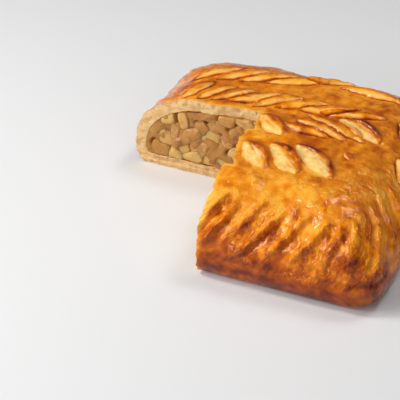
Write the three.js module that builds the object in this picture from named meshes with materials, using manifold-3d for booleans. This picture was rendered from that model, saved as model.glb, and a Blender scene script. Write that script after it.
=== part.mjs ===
// A square apple pie with rounded corners and a slashed lid, one corner cut away down to the base.
// Millimetres, +Z up, the front towards -Y, the origin under the middle of the flat underside.

import * as THREE from 'three';
import { mergeVertices } from 'three/addons/utils/BufferGeometryUtils.js';
import Module from 'manifold-3d';

const wasm = await Module();
wasm.setup();

const degree = Math.PI / 180;
const { lerp, smoothstep } = THREE.MathUtils;

// Driving dimensions of the whole pie
const halfLength = 109.5;
const halfWidth = 105.5;
const sideBow = 3.5;
const bulgeHeight = 14;
const shoulderHeight = 59.4;
const domeRise = 2;
const shoulderWidth = 50;
const baseTuck = 9;
const cornerRadius = { backRight: 36, backLeft: 36, frontLeft: 36, frontRight: 19 };

// Dough thickness, and the clearance between dough and filling
const wallThickness = 8;
const lidThickness = 7.5;
const baseThickness = 9;
const clearance = 0.3;

// The room for the filling: how far its foot tucks in and where it is widest, from its own floor,
// and how much narrower its shoulder is than the dough's
const room = { tuck: 6, bulgeRise: 6, narrower: 2 };

// The cut corner: the side face looks towards -X and the back face towards -Y
const sideFaceX = -9;
const backFaceY = 3.5;
const lidCutBottom = 50.5;

// The lid tore where it was cut. Each point is its distance from the side face, then its y.
const sideTears = [
  [0.5, -84], [-1.3, -62], [5, -63.5], [0, -48], [-4, -31], [-4, -20], [1.5, -18], [-2, -10],
];
// Each point is its distance along the back face, then from it
const backTears = [[3, 0.5], [20, 2.5], [36, -0.5], [52, 0], [90, -2]];

// Thin sheets in the dough end a little before or after the cut. Each row is the height of the
// sheet's top and how far its end is set back.
const sheets = [[2.2, 0.5], [4.6, -0.7], [7.1, 0.3], [9.4, -0.5], [26, 0], [lidCutBottom, -0.4]];
const sheetOverlap = 0.2;

// Puffed folds that lean round the sides, and the crease above the foot
const fold = {
  pitch: 21, lean: 0.65, height: 2, valley: 0.6, lowest: 20, highest: 80, fadeIn: 14, fadeOut: 22,
};
const crease = { level: 27, halfWidth: 4, depth: 1.3 };

// Waves along the sides make the folds uneven. A length is that of one radian of the wave.
const longDrift = { size: 4.5, length: 19 };
const shortDrift = { size: 3, length: 8.3, phase: 1 };
const foldStrength = { mean: 0.65, size: 0.35, length: 13, riseLength: 9 };
const creaseDrift = { size: 2, length: 17 };

// Rows of slashes in the lid. A row runs from one centre to the other; its first and last slash
// have the angle, length and width given, and those between are spaced and turned evenly.
const slashRows = [
  { from: [3, -47], to: [41, -39], count: 3, angle: [-48, -38], length: [34, 42], width: [11, 10] },
  { from: [0, -9], to: [0, -9], count: 1, angle: [-38, -38], length: [30, 30], width: [8, 8] },
  { from: [24, -8], to: [41, 6], count: 3, angle: [-6, -20], length: [32, 46], width: [4, 4.5] },
  { from: [55, 11], to: [55, 11], count: 1, angle: [-24, -24], length: [38, 38], width: [10, 10] },
  { from: [-66, 19], to: [-25, 22], count: 4, angle: [66, 34], length: [26, 32], width: [5, 7.5] },
  { from: [-8, 24], to: [46, 27], count: 4, angle: [42, 10], length: [30, 36], width: [6, 4.5] },
  { from: [-64, 49], to: [-8, 57], count: 4, angle: [44, 24], length: [34, 38], width: [5, 5.5] },
  { from: [14, 68], to: [48, 62], count: 2, angle: [22, -4], length: [34, 48], width: [4.5, 4] },
  { from: [57, -21], to: [57, -21], count: 1, angle: [-48, -48], length: [10, 10], width: [2.5, 2.5] },
  { from: [86, -48], to: [84, 44], count: 5, angle: [-62, -40], length: [26, 30], width: [7, 8] },
];
const slashSeed = 7;
const slashJitter = { place: 1, angle: 4 };
const slashEndShare = 0.97;

// A slash's raised crest and its crevice, across the slash. Both shrink on one below the full width.
const crest = {
  fullWidth: 6, height: 2.1, lipDrop: 0.5, backSlope: 6, toeDepth: 0.6, root: 2.5, undercut: 0.4,
  front: 0.3,
};
const crevice = {
  fullWidth: 5, depth: 1.6, nearRim: 0.3, farRim: 0.4, farShare: 0.2, mouthShare: 0.1, nearGap: 0.2,
  mouthGap: 0.4, aboveLid: 4,
};

// Apple dice that show in the two cut faces: rows above each other, with pieces along each row.
// The spreads are how far a piece strays from its even place, size and turn.
const dice = {
  length: 14.5, width: 10, height: 9.5, pitch: 14.2, rowPitch: 9.6, proud: 1.6, rows: 5, perRow: 7,
};
const diceStart = { run: 5, level: 5, depth: 2.2 };
const diceSpread = { run: 3, level: 2, depth: 2.4, size: 0.3, roll: 0.8, tilt: 0.9 };
const diceSeed = 21;
const unitDiceRadius = 0.56;

// Fineness of the meshes. The angles run up the side's profile, from the foot's edge at -90 by way
// of the widest place at 0 to the lid's edge at 90.
const skin = {
  cornerSteps: 9,
  sideSteps: 27,
  domeRings: 2,
  angles: [-90, -62, -32, 0, 8, 17, 26, 35, 44, 53, 62, 71, 80, 90],
};
const inner = {
  cornerSteps: 5,
  sideSteps: 8,
  domeRings: 2,
  angles: [-90, -40, 0, 15, 30, 45, 60, 75, 90],
};
const lastRingGap = 0.4;
const slashSteps = 5;
const bisections = 24;
const weldDistance = 1e-3;

// Cutting shapes reach past the pie to here
const outside = 130;

const finish = {
  crust: { color: 0xc9761f, roughness: 0.35, metalness: 0 },
  filling: { color: 0xcfa85a, roughness: 0.45, metalness: 0 },
};

// Plan of the pie: a rounded rectangle that shrinks evenly towards the middle

const corners = [
  { x: 1, y: 1, radius: cornerRadius.backRight },
  { x: -1, y: 1, radius: cornerRadius.backLeft },
  { x: -1, y: -1, radius: cornerRadius.frontLeft },
  { x: 1, y: -1, radius: cornerRadius.frontRight },
];

function cornerAt(index, inset) {
  const corner = corners[index % corners.length];
  const radius = corner.radius * (1 - inset / halfLength);
  return {
    x: corner.x * (halfLength - inset - radius),
    y: corner.y * (halfWidth - inset - radius),
    radius,
  };
}

function arcPoint(index, inset, angle) {
  const corner = cornerAt(index, inset);
  const nx = Math.cos(angle);
  const ny = Math.sin(angle);
  return { x: corner.x + corner.radius * nx, y: corner.y + corner.radius * ny, nx, ny };
}

function planRing(inset, detail) {
  const ring = [];
  corners.forEach((_, index) => {
    for (let step = 0; step <= detail.cornerSteps; step += 1) {
      ring.push(arcPoint(index, inset, (index + step / detail.cornerSteps) * 90 * degree));
    }
    const start = arcPoint(index, inset, (index + 1) * 90 * degree);
    const end = arcPoint(index + 1, inset, (index + 1) * 90 * degree);
    for (let step = 1; step < detail.sideSteps; step += 1) {
      const share = step / detail.sideSteps;
      const { nx, ny } = start;
      ring.push({ x: lerp(start.x, end.x, share), y: lerp(start.y, end.y, share), nx, ny });
    }
  });
  return ring;
}

function levelRing(inset, z, detail) {
  return planRing(inset, detail).map((point) => new THREE.Vector3(point.x, point.y, z));
}

// How far inside the widest outline a point of the plan lies
function insetAt(x, y) {
  const index = corners.findIndex((corner) => corner.x * x >= 0 && corner.y * y >= 0);
  let low = 0;
  let high = halfWidth;
  for (let pass = 0; pass < bisections; pass += 1) {
    const inset = (low + high) / 2;
    const corner = cornerAt(index, inset);
    const overX = Math.max(Math.abs(x) - Math.abs(corner.x), 0);
    const overY = Math.max(Math.abs(y) - Math.abs(corner.y), 0);
    const inside = Math.hypot(overX, overY) < corner.radius;
    low = inside ? inset : low;
    high = inside ? high : inset;
  }
  return low;
}

// The side's profile: two quarter ellipses that meet where the pie is widest, the tucked-in foot
// below and the broad shoulder above. Then the low dome of the lid.

const outerProfile = {
  inset: 0,
  foot: 0,
  widest: bulgeHeight,
  top: shoulderHeight,
  tuck: baseTuck,
  shoulder: shoulderWidth,
};

function profileAt(profile, angle) {
  const below = angle < 0;
  const reach = below ? profile.tuck : profile.shoulder;
  const rise = below ? profile.widest - profile.foot : profile.top - profile.widest;
  const turn = angle * degree;
  return {
    inset: profile.inset + reach * (1 - Math.cos(turn)),
    z: profile.widest + rise * Math.sin(turn),
    normal: new THREE.Vector2(Math.cos(turn) * rise, Math.sin(turn) * reach).normalize(),
  };
}

function domeHeight(edgeHeight, share) {
  return edgeHeight + domeRise * Math.sin(share * 90 * degree);
}

function domeRings(edgeInset, edgeHeight, detail) {
  const rings = [];
  for (let step = 1; step <= detail.domeRings; step += 1) {
    const share = step / (detail.domeRings + lastRingGap);
    rings.push(levelRing(lerp(edgeInset, halfWidth, share), domeHeight(edgeHeight, share), detail));
  }
  return rings;
}

// Height of the smooth lid over a point of the plan
function lidHeight(x, y) {
  const inset = insetAt(x, y);
  if (inset >= shoulderWidth) {
    return domeHeight(shoulderHeight, (inset - shoulderWidth) / (halfWidth - shoulderWidth));
  }
  const across = 1 - inset / shoulderWidth;
  return bulgeHeight + (shoulderHeight - bulgeHeight) * Math.sqrt(1 - across * across);
}

// The front and back sides bow outwards, most in their middle
function bowed(point) {
  const share = 1 - (point.x / halfLength) ** 2;
  return new THREE.Vector3(point.x, point.y * (1 + share * sideBow / halfWidth), point.z);
}

// Meshes and solids

function toSolid(geometry) {
  geometry.deleteAttribute('normal');
  geometry.deleteAttribute('uv');
  const merged = mergeVertices(geometry, weldDistance);
  return new wasm.Manifold(new wasm.Mesh({
    numProp: 3,
    vertProperties: new Float32Array(merged.attributes.position.array),
    triVerts: new Uint32Array(merged.index.array),
  }));
}

function indexedSolid(points, index) {
  const geometry = new THREE.BufferGeometry().setFromPoints(points);
  geometry.setIndex(index);
  return toSolid(geometry);
}

function toGeometry(solid) {
  const { vertProperties, triVerts } = solid.getMesh();
  const geometry = new THREE.BufferGeometry();
  geometry.setAttribute('position', new THREE.BufferAttribute(vertProperties, 3));
  geometry.setIndex(new THREE.BufferAttribute(triVerts, 1));
  return geometry;
}

// Points under a micron apart are welded, and any scrap that this frees is dropped
function weldedBody(solid) {
  const bodies = toSolid(toGeometry(solid)).decompose();
  bodies.sort((a, b) => b.volume() - a.volume());
  return bodies[0];
}

function toMesh(solid, name) {
  const geometry = toGeometry(weldedBody(solid));
  geometry.computeVertexNormals();
  const mesh = new THREE.Mesh(geometry, new THREE.MeshStandardMaterial(finish[name]));
  mesh.name = name;
  return mesh;
}

// A closed skin over rings of points that lie above each other
function ringSolid(rings, bottom, top) {
  const count = rings[0].length;
  const points = [bottom, ...rings.flat(), top].map(bowed);
  const index = [];
  const last = points.length - 1;
  const rim = 1 + (rings.length - 1) * count;
  for (let side = 0; side < count; side += 1) {
    const next = (side + 1) % count;
    index.push(0, 1 + next, 1 + side);
    for (let lower = 1; lower < rim; lower += count) {
      const upper = lower + count;
      index.push(lower + side, lower + next, upper + next);
      index.push(lower + side, upper + next, upper + side);
    }
    index.push(last, rim + side, rim + next);
  }
  return indexedSolid(points, index);
}

// A closed skin over sections that lie beside each other
function sectionSolid(sections) {
  const count = sections[0].length;
  const index = [];
  const end = (sections.length - 1) * count;
  for (let row = 0; row < end; row += count) {
    for (let side = 0; side < count; side += 1) {
      const a = row + side;
      const b = row + (side + 1) % count;
      index.push(a, b, b + count);
      index.push(a, b + count, a + count);
    }
  }
  for (let side = 1; side < count - 1; side += 1) {
    index.push(0, side + 1, side);
    index.push(end, end + side, end + side + 1);
  }
  return indexedSolid(sections.flat(), index);
}

// Numbers from 0 to 1 that are the same on every run
function seededRandom(seed) {
  const modulus = 2 ** 32;
  let state = seed;
  return () => {
    state = (state * 1664525 + 1013904223) % modulus;
    return state / modulus;
  };
}

// The baked skin: a flat foot, a tucked-in edge, a quarter-round shoulder and a low dome

function wave(drift, distance) {
  return drift.size * Math.sin(distance / drift.length + (drift.phase ?? 0));
}

// Rounded puffs between sharp valleys, for a point so far around the pie and up its side
function foldRelief(around, up) {
  const window = smoothstep(up, fold.lowest, fold.lowest + fold.fadeIn)
    * (1 - smoothstep(up, fold.highest - fold.fadeOut, fold.highest));
  const uneven = wave(longDrift, around) + wave(shortDrift, around);
  const phase = (around + uneven - fold.lean * up) / fold.pitch;
  const puff = Math.abs(Math.sin(Math.PI * phase)) - fold.valley;
  const swell = Math.sin(around / foldStrength.length + up / foldStrength.riseLength);
  const strength = foldStrength.mean + foldStrength.size * swell;
  const offCrease = (up - crease.level - wave(creaseDrift, around)) / crease.halfWidth;
  return fold.height * strength * puff * window - crease.depth * Math.exp(-offCrease * offCrease);
}

function sideRing(angle, up) {
  const { inset, z, normal } = profileAt(outerProfile, angle);
  const outline = planRing(0, skin);
  let around = 0;
  return planRing(inset, skin).map((point, index) => {
    const here = outline[index];
    const before = outline[Math.max(index - 1, 0)];
    around += Math.hypot(here.x - before.x, here.y - before.y);
    const relief = angle < 0 ? 0 : foldRelief(around, up);
    const out = relief * normal.x;
    return new THREE.Vector3(point.x + point.nx * out, point.y + point.ny * out, z + relief * normal.y);
  });
}

function doughBody() {
  let up = 0;
  const rings = skin.angles.map((angle, index) => {
    const here = profileAt(outerProfile, angle);
    const below = profileAt(outerProfile, skin.angles[Math.max(index - 1, 0)]);
    up += Math.hypot(here.inset - below.inset, here.z - below.z);
    return sideRing(angle, up);
  });
  rings.push(...domeRings(shoulderWidth, shoulderHeight, skin));
  const top = new THREE.Vector3(0, 0, shoulderHeight + domeRise);
  return ringSolid(rings, new THREE.Vector3(), top);
}

// A slash: a sunk pale slope that starts in a sharp crevice, and the raised crest behind it

function slashFrame(slash) {
  const along = new THREE.Vector2(Math.cos(slash.angle), Math.sin(slash.angle));
  const across = new THREE.Vector2(-along.y, along.x);
  return (u, v, rise) => {
    const x = slash.x + along.x * u + across.x * v;
    const y = slash.y + along.y * u + across.y * v;
    return bowed(new THREE.Vector3(x, y, lidHeight(x, y) + rise));
  };
}

// A section lists points as a distance across the slash and a height over the lid
function slashSolid(slash, section) {
  const place = slashFrame(slash);
  const sections = [];
  for (let step = 0; step <= slashSteps; step += 1) {
    const share = lerp(-slashEndShare, slashEndShare, step / slashSteps);
    const fullness = 1 - share * share;
    sections.push(section(fullness).map(([v, rise]) => place(share * slash.length / 2, v, rise)));
  }
  return sectionSolid(sections);
}

function crestSolid(slash) {
  const size = Math.min(1, slash.width / crest.fullWidth);
  const lip = slash.width / 2;
  const toe = lip + crest.backSlope * size;
  return slashSolid(slash, (fullness) => [
    [-crest.front * slash.width * fullness, -crest.root],
    [toe * fullness + crest.undercut, -crest.root],
    [toe * fullness, -crest.toeDepth],
    [lip * fullness, crest.height * size * fullness - crest.lipDrop],
  ]);
}

function creviceSolid(slash) {
  const size = Math.min(1, slash.width / crevice.fullWidth);
  const near = -slash.width / 2;
  const sink = crevice.depth * size + crevice.nearRim;
  return slashSolid(slash, (fullness) => [
    [near * fullness - crevice.nearGap, crevice.nearRim - sink * fullness],
    [crevice.farShare * slash.width * fullness, crevice.farRim],
    [crevice.mouthShare * slash.width * fullness, crevice.aboveLid],
    [near * fullness - crevice.mouthGap, crevice.aboveLid],
  ]);
}

function allSlashes() {
  const random = seededRandom(slashSeed);
  const jitter = (spread) => (random() - 0.5) * spread;
  return slashRows.flatMap((row) => Array.from({ length: row.count }, (_, step) => {
    const share = row.count > 1 ? step / (row.count - 1) : 0;
    return {
      x: lerp(row.from[0], row.to[0], share) + jitter(slashJitter.place),
      y: lerp(row.from[1], row.to[1], share) + jitter(slashJitter.place),
      angle: (lerp(row.angle[0], row.angle[1], share) + jitter(slashJitter.angle)) * degree,
      length: lerp(row.length[0], row.length[1], share),
      width: lerp(row.width[0], row.width[1], share),
    };
  }));
}

function slashedDough() {
  const slashes = allSlashes();
  const crests = wasm.Manifold.union(slashes.map(crestSolid));
  const crevices = wasm.Manifold.union(slashes.map(creviceSolid));
  return doughBody().add(crests).subtract(crevices);
}

// The room for the filling, a smaller pie shape inside the dough, shrunk by a gap

function roomBody(gap) {
  const floor = baseThickness + gap;
  const top = shoulderHeight - lidThickness - gap;
  const profile = {
    inset: wallThickness + gap,
    foot: floor,
    widest: floor + room.bulgeRise,
    top,
    tuck: room.tuck,
    shoulder: shoulderWidth - room.narrower,
  };
  const rings = inner.angles.map((angle) => {
    const { inset, z } = profileAt(profile, angle);
    return levelRing(inset, z, inner);
  });
  rings.push(...domeRings(wallThickness + shoulderWidth, top, inner));
  return ringSolid(rings, new THREE.Vector3(0, 0, floor), new THREE.Vector3(0, 0, top + domeRise));
}

// The cut corner, as prisms over an edge that runs up the side face and along the back face

function cutPrism(edge, bottom, top) {
  const [firstX] = edge[0];
  const [, lastY] = edge[edge.length - 1];
  const shape = new THREE.Shape();
  shape.moveTo(firstX, -outside);
  for (const [x, y] of edge) {
    shape.lineTo(x, y);
  }
  shape.lineTo(-outside, lastY);
  shape.lineTo(-outside, -outside);
  const geometry = new THREE.ExtrudeGeometry(shape, { depth: top - bottom, bevelEnabled: false });
  geometry.translate(0, 0, bottom);
  return toSolid(geometry);
}

function plainEdge(setBack) {
  return [[sideFaceX + setBack, backFaceY + setBack]];
}

function tornLidEdge() {
  return [
    ...sideTears.map(([out, y]) => [sideFaceX + out, y]),
    ...backTears.map(([along, out]) => [sideFaceX - along, backFaceY + out]),
  ];
}

// The prisms overlap, so that no skin of dough is left between them
function doughCut() {
  const prisms = sheets.map(([top, setBack], index) => {
    const bottom = index ? sheets[index - 1][0] - sheetOverlap : -outside;
    return cutPrism(plainEdge(setBack), bottom, top);
  });
  const lidPrism = cutPrism(tornLidEdge(), lidCutBottom - sheetOverlap, outside);
  return wasm.Manifold.union([...prisms, lidPrism]);
}

function crust() {
  return slashedDough().subtract(roomBody(0)).subtract(doughCut());
}

// The filling: a core with the dice that the two cut faces show

function dicePiece(place, random) {
  const size = 1 + (random() - 0.5) * diceSpread.size;
  const geometry = new THREE.IcosahedronGeometry(unitDiceRadius, 0);
  geometry.rotateX(random() * Math.PI);
  geometry.scale(dice.length * size, dice.width * size, dice.height * size);
  geometry.rotateX((random() - 0.5) * diceSpread.roll);
  geometry.rotateY((random() - 0.5) * diceSpread.tilt);
  geometry.rotateZ(random() * Math.PI);
  geometry.translate(place.x, place.y, place.z);
  return toSolid(geometry);
}

// Every second row is shifted by half a piece
function diceOnFace(placeOnFace, random) {
  const pieces = [];
  for (let row = 0; row < dice.rows; row += 1) {
    const shift = row % 2 ? dice.pitch / 2 : 0;
    for (let step = 0; step < dice.perRow; step += 1) {
      const run = diceStart.run + shift + step * dice.pitch + (random() - 0.5) * diceSpread.run;
      const rise = diceStart.level + row * dice.rowPitch + (random() - 0.5) * diceSpread.level;
      const depth = diceStart.depth + random() * diceSpread.depth;
      pieces.push(dicePiece(placeOnFace(run, depth, baseThickness + rise), random));
    }
  }
  return pieces;
}

function diceOnBothFaces() {
  const random = seededRandom(diceSeed);
  const onSide = (run, depth, z) => new THREE.Vector3(sideFaceX + depth, backFaceY - run, z);
  const onBack = (run, depth, z) => new THREE.Vector3(sideFaceX - run, backFaceY + depth, z);
  return wasm.Manifold.union([...diceOnFace(onSide, random), ...diceOnFace(onBack, random)]);
}

// The knife sliced the dice too, so they end flat and a little proud of the jelly between them
function filling() {
  const space = roomBody(clearance);
  const core = space.subtract(cutPrism(plainEdge(clearance), -outside, outside));
  const pieces = diceOnBothFaces().intersect(space);
  return core.add(pieces.subtract(cutPrism(plainEdge(-dice.proud), -outside, outside)));
}

const pie = new THREE.Group();
pie.add(toMesh(crust(), 'crust'));
pie.add(toMesh(filling(), 'filling'));

export default pie;
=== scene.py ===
"""A square apple pie with a slashed golden lid, one corner cut away to show its filling.

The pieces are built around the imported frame, in metres, with the sizes that the frame gives.
"""

import itertools
import math

import bpy
import numpy as np
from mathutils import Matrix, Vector
from mathutils.kdtree import KDTree


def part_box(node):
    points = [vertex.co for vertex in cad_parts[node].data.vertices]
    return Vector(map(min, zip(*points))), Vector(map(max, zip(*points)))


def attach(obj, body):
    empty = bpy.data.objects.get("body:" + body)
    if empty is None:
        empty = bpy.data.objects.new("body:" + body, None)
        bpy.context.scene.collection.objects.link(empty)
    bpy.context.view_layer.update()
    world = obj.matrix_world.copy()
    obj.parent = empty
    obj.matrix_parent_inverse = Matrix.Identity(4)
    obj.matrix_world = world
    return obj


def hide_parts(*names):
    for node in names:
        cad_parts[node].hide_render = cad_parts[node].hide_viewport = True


bl_info = {
    "name": "Apple pie",
    "version": (1, 0, 0),
    "blender": (4, 5, 0),
    "location": "View3D > Sidebar > Apple pie",
    "description": "Builds a square apple pie with one corner cut away",
    "category": "Object",
}

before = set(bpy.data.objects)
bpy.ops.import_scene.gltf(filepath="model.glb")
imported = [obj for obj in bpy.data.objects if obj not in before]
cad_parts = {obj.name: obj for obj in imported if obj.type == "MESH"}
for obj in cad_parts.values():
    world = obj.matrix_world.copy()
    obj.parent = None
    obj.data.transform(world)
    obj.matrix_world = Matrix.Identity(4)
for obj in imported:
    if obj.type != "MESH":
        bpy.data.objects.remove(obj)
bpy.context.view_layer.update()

MM = 0.001
_, CRUST_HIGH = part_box("crust")
FILLING_LOW, FILLING_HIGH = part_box("filling")

# What the frame doesn't say by itself, as in the solids
CLEARANCE = 0.3 * MM
LID_THICKNESS = 7.5 * MM
DOME_RISE = 2 * MM
SIDE_BOW = 3.5 * MM
CORNER_RADII = (36 * MM, 36 * MM, 36 * MM, 19 * MM)

# The lid tore where it was cut. Millimetres: y along the side face, or x along the back face, then how
# far the lid's end is set back there.
SIDE_TEARS = (
    (-84, 0.5), (-63.4, -1.3), (-62.6, 5), (-48, 0), (-31, -4), (-20, -4), (-18, 1.5), (-10, -2),
)
BACK_TEARS = ((-99, -2), (-61, 0), (-45, -0.5), (-29, 2.5), (-12, 0.5))
# Thin sheets in the dough. Millimetres: height of the sheet's top, then how far its end is set back.
SHEETS = ((2.2, 0.5), (4.6, -0.7), (7.1, 0.3), (9.4, -0.5), (26, 0), (50.5, -0.4))

# Rows of slashes in the lid, from one centre to the other. Millimetres and degrees for the first and
# the last slash of the row, then from 0 to 1 how pale its dough stayed and how dark its far lip baked.
SLASH_ROWS = (
    ((3, -47), (41, -39), 3, (-48, -38), (35, 43), (14.5, 14.5), 1.0, 0.9),
    ((0, -9), (0, -9), 1, (-38, -38), (30, 30), (11, 11), 0.85, 0.9),
    ((24, -8), (41, 6), 3, (-6, -20), (34, 48), (6, 6.5), 0.38, 0.3),
    ((55, 11), (55, 11), 1, (-24, -24), (38, 38), (13, 13), 0.8, 1.0),
    ((-66, 19), (-25, 22), 4, (66, 34), (32, 40), (7, 8), 0.34, 0.15),
    ((-8, 24), (46, 27), 4, (42, 10), (38, 46), (7.5, 7), 0.34, 0.15),
    ((-64, 49), (-8, 57), 4, (44, 24), (42, 48), (6.5, 7), 0.3, 0.12),
    ((14, 68), (48, 62), 2, (22, -4), (36, 50), (6, 6), 0.3, 0.15),
    ((58, -22), (58, -22), 1, (-48, -48), (10, 10), (3, 3), 0.9, 0.2),
    ((94, -14), (78, 60), 3, (-58, -34), (30, 32), (9, 8), 0.5, 0.7),
)

# Folds along the front. Millimetres from the middle at which each crosses the folds' level, how far it
# leans to the right for each millimetre up, and its strength.
FRONT_FOLDS = (
    (-6, 0.55, 0.8), (5.5, 0.65, 0.9), (20, 0.8, 0.5), (37, 1.0, 1.1), (54, 1.05, 1.0), (71, 1.15, 0.9),
    (86, 0.9, 0.6), (99, 0.5, 0.6),
)
# Browned and blistered spots on the front. Millimetres: from the middle, height, reach.
BROWNED_SPOTS = ((1, 45, 8), (83, 43, 6), (94, 31, 8), (87, 53, 4.5), (44, 40, 4), (60, 48, 4))
FOLD_LEAN = 0.6
FOLD_LEVEL = 47 * MM
# A fold in section, from its crest to the right: its rope's widths to both sides, and then the middle
# and the width of its swell, its creases at both sides, and its flanks with painted shade and painted
# highlight
ROPE_LEFT = 3.6 * MM
ROPE_RIGHT = 2.0 * MM
FOLD_SWELL = (-3 * MM, 7 * MM)
LEFT_CREASE = (-5.5 * MM, 1.1 * MM)
RIGHT_CREASE = (3.6 * MM, 1.6 * MM)
SHADED_FLANK = (3.0 * MM, 1.5 * MM)
LIT_FLANK = (-3.5 * MM, 2.6 * MM)
FOLD_REACH = 20 * MM
# The crease above the foot, sunk in and darkened with painted shade
FOOT_CREASE_LEVEL = 26 * MM
FOOT_CREASE_WIDTH = 1.8 * MM
FOOT_CREASE_DEPTH = 1.3 * MM
# How much shorter a wrinkle's pattern is made along the folds, which draws it out
GRAIN_STRETCH = 0.55
# A spot in front of the third long slash where the skin flaked: its middle and its reach
FLAKED_SPOT = (49 * MM, -59 * MM)
FLAKED_REACH = 6 * MM

# Fineness of the meshes, and how far the cutting shapes reach
SKIN_CELLS = 210
ROOM_CELLS = 64
DOUGH_CUT_CELL = 0.75 * MM
JELLY_CUT_CELL = 1.2 * MM
OUTSIDE = 130 * MM
CUT_BOTTOM = -10 * MM
CUT_TOP = 70 * MM
LID_CUT_BOTTOM = 50.5 * MM
RIM_DEPTH = 0.9 * MM
UNDERSIDE_REACH = 0.2 * MM
ROOM_ROUNDING = 6 * MM
DOME_STEPS = 40
QUARTER_STEPS = 80
INSET_STEPS = 20
DOUGH_SMOOTH_ANGLE = 45
FILLING_SMOOTH_ANGLE = 60
# The jelly reaches into the dough by a little, and sags in hollows under the lid
JELLY_OVERLAP = 0.2 * MM
HOLLOW_SIZE = 22 * MM
HOLLOW_DEPTH = 3.4 * MM
NOISE_CELLS = 32
# Seeds of the random draws
SLASH_SEED = 7
FOLD_SEED = 17
DICE_SEED = 21
# What the skin stores at each point for its material
SKIN_SHARES = ("baked", "pale", "wrinkled", "side", "drawn")

# The apple pieces' form, and their rows behind the cut faces
DIE_CUTS = 6
DIE_SQUARENESS = 3.4
DICE_ROWS = 5
DICE_PER_ROW = 8
DICE_PITCH = 13.2 * MM
DICE_ROW_PITCH = 9.2 * MM
DICE_FLOOR = 4.5 * MM
DICE_SHIFT = 3 * MM
DICE_ROOM_GAP = 2 * MM
# Where a piece reaches into the dough it is pressed in, in steps that each leave that share
PRESS_STEPS = 12
PRESS_SHARE = 0.86
# How the knife's face of a piece bulges
KNIFE_CROWN = 1.4 * MM
KNIFE_REACH = 4 * MM

# Real sizes of the patterns in the materials
MOTTLE_SIZE = 6 * MM
BLISTER_SIZE = 5 * MM
OPENED_SIZE = 3 * MM
CRUMB_SIZE = 5 * MM
TIN_MARK_SIZE = 14 * MM
CLOUD_SIZE = 6 * MM
FLESH_SIZE = 6 * MM
BARE_ROUGHNESS = 0.6

# Where each light stands and how wide it is, in metres
LIGHTS = (
    ("key", (-0.6, -0.25, 1.0), 0.24),
    ("back", (0.35, 0.45, 1.15), 0.4),
    ("fill", (1.76, -1.98, 1.1), 1.98),
    ("low", (-0.6, -1.2, 0.5), 0.16),
    ("left", (-0.9, -0.8, 0.7), 0.55),
)
LIGHT_TARGET = (0, 0, 0.03)
FLOOR_SIZE = 40


def length(name, millimetres, description):
    return bpy.props.FloatProperty(
        name=name, description=description, default=millimetres * MM, unit="LENGTH", precision=4
    )


def linear(hex_value):
    """An sRGB colour such as 0xC9761F as linear red, green, blue and alpha."""
    channels = [(hex_value >> shift & 255) / 255 for shift in (16, 8, 0)]
    return (
        *(c / 12.92 if c <= 0.04045 else ((c + 0.055) / 1.055) ** 2.4 for c in channels),
        1.0,
    )


def colour(name, hex_value, description):
    return bpy.props.FloatVectorProperty(
        name=name, description=description, default=linear(hex_value), subtype="COLOR", size=4
    )


class PieSizes(bpy.types.PropertyGroup):
    """The pie's driving dimensions, with defaults from the frame."""

    half_length: length("Half length", CRUST_HIGH.x / MM, "From the middle to the right side")
    half_width: length("Half width", (CRUST_HIGH.y - SIDE_BOW) / MM, "From the middle to a back corner")
    side_bow: length("Side bow", SIDE_BOW / MM, "How far the front and back bow outwards")
    shoulder_height: length(
        "Shoulder height",
        (FILLING_HIGH.z + CLEARANCE + LID_THICKNESS - DOME_RISE) / MM,
        "Height of the lid's edge",
    )
    shoulder_width: length("Shoulder width", 50, "How far in the rounded shoulder reaches")
    bulge_height: length("Bulge height", 14, "Height at which the pie is widest")
    base_tuck: length("Base tuck", 9, "How far the foot is tucked in")
    dome_rise: length("Dome rise", DOME_RISE / MM, "Rise of the lid from its edge to its middle")
    wall: length("Wall", (CRUST_HIGH.x - FILLING_HIGH.x - CLEARANCE) / MM, "Dough at the sides")
    lid: length("Lid", LID_THICKNESS / MM, "Dough of the lid")
    base: length("Base", (FILLING_LOW.z - CLEARANCE) / MM, "Dough under the filling")
    side_face: length("Side face", -9, "Where the cut face that looks left stands")
    back_face: length("Back face", 3.5, "Where the cut face that looks to the front stands")


class DoughSizes(bpy.types.PropertyGroup):
    """Folds round the sides and the relief of a slash."""

    fold_pitch: length("Fold pitch", 21, "Distance between two folds round the sides")
    fold_height: length("Fold height", 3.4, "Height of a fold over the side")
    wrinkle_pitch: length("Wrinkle pitch", 3.6, "Distance between the wrinkles")
    wrinkle_height: length("Wrinkle height", 1.5, "Height of the wrinkles")
    crest_height: length("Crest height", 2.6, "Height of the lip behind a slash")
    slash_depth: length("Slash depth", 1.6, "Depth of the crevice along a slash")
    back_slope: length("Back slope", 8.5, "Width of the slope behind the lip")


class AppleSizes(bpy.types.PropertyGroup):
    """Apple dice in the two cut faces."""

    dice_length: length("Length", 16, "Length of an apple piece")
    dice_width: length("Width", 12.5, "Width of an apple piece")
    dice_height: length("Height", 11.5, "Height of an apple piece")
    proud: length("Proud", 1.2, "How far the cut pieces stand out of the jelly")


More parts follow.
